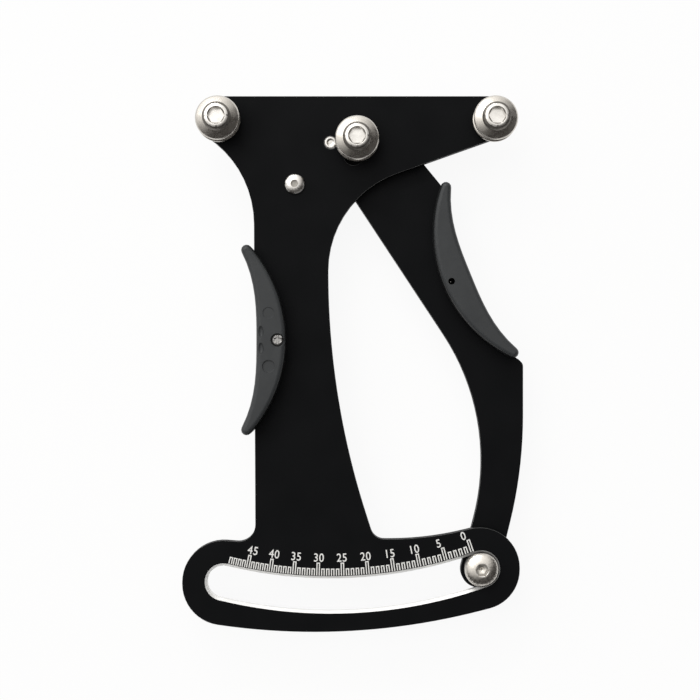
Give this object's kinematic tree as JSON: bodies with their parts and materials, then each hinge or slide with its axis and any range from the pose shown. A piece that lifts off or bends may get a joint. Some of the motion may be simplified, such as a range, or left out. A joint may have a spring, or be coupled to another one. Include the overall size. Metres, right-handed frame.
{
  "type": "spoke tension meter",
  "caption": "Squeeze-handle meter that bends a wheel spoke over posts and shows its tension by a pointer in an arc-shaped scale slot.",
  "frame": {"origin": "under the middle of the whole, on the surface it lies on", "axes": "+X to the right along the three posts, +Y from the scale towards the posts, +Z out of the scale's face, away from the surface it lies on"},
  "size_m": [0.1404, 0.2198, 0.0348],
  "materials": {
    "black_anodised": "black anodised, satin",
    "bare_steel": "turned and plated, satin bright",
    "spring_steel": "drawn wire, satin",
    "bronze": "sintered, matte",
    "nylon_black": "matte",
    "grip_grey": "fine-grained, matte",
    "mark_white": "printed, matte"
  },
  "bodies": {
    "frame": {"front_plate": "black_anodised", "scale_marks": "mark_white", "post_left": "bare_steel", "post_right": "bare_steel", "post_screw_left": "bare_steel", "post_screw_right": "bare_steel", "post_washers": "bare_steel", "post_nuts": "bare_steel", "pivot_pin": "bare_steel", "pivot_washer": "bare_steel", "retaining_clip": "spring_steel", "spring_sleeve": "nylon_black", "torsion_spring": "spring_steel", "spring_post": "bare_steel", "anchor_screw": "bare_steel", "grip_left_front": "grip_grey", "grip_left_rear": "grip_grey", "grip_screw_left": "bare_steel"},
    "arm": {"arm_plate": "black_anodised", "arm_bush": "bronze", "post_spacer": "bare_steel", "post_middle": "bare_steel", "post_screw_middle": "bare_steel", "spring_pin": "bare_steel", "pointer_bush": "nylon_black", "guide_washer": "nylon_black", "pointer_screw": "bare_steel", "pointer_washer": "bare_steel", "pointer_nut": "bare_steel", "grip_right_front": "grip_grey", "grip_right_rear": "grip_grey", "grip_screw_right": "bare_steel"}
  },
  "joints": [
    {"name": "arm_pivot", "type": "hinge", "parent": "frame", "child": "arm", "pos_m": [-0.00934, 0.09086, 0.01486], "axis": [0, 0, -1], "range_deg": [0, 33.2], "stiffness_Nm_per_rad": 1, "springref_deg": -22.92, "deforming": ["torsion_spring"]}
  ]
}
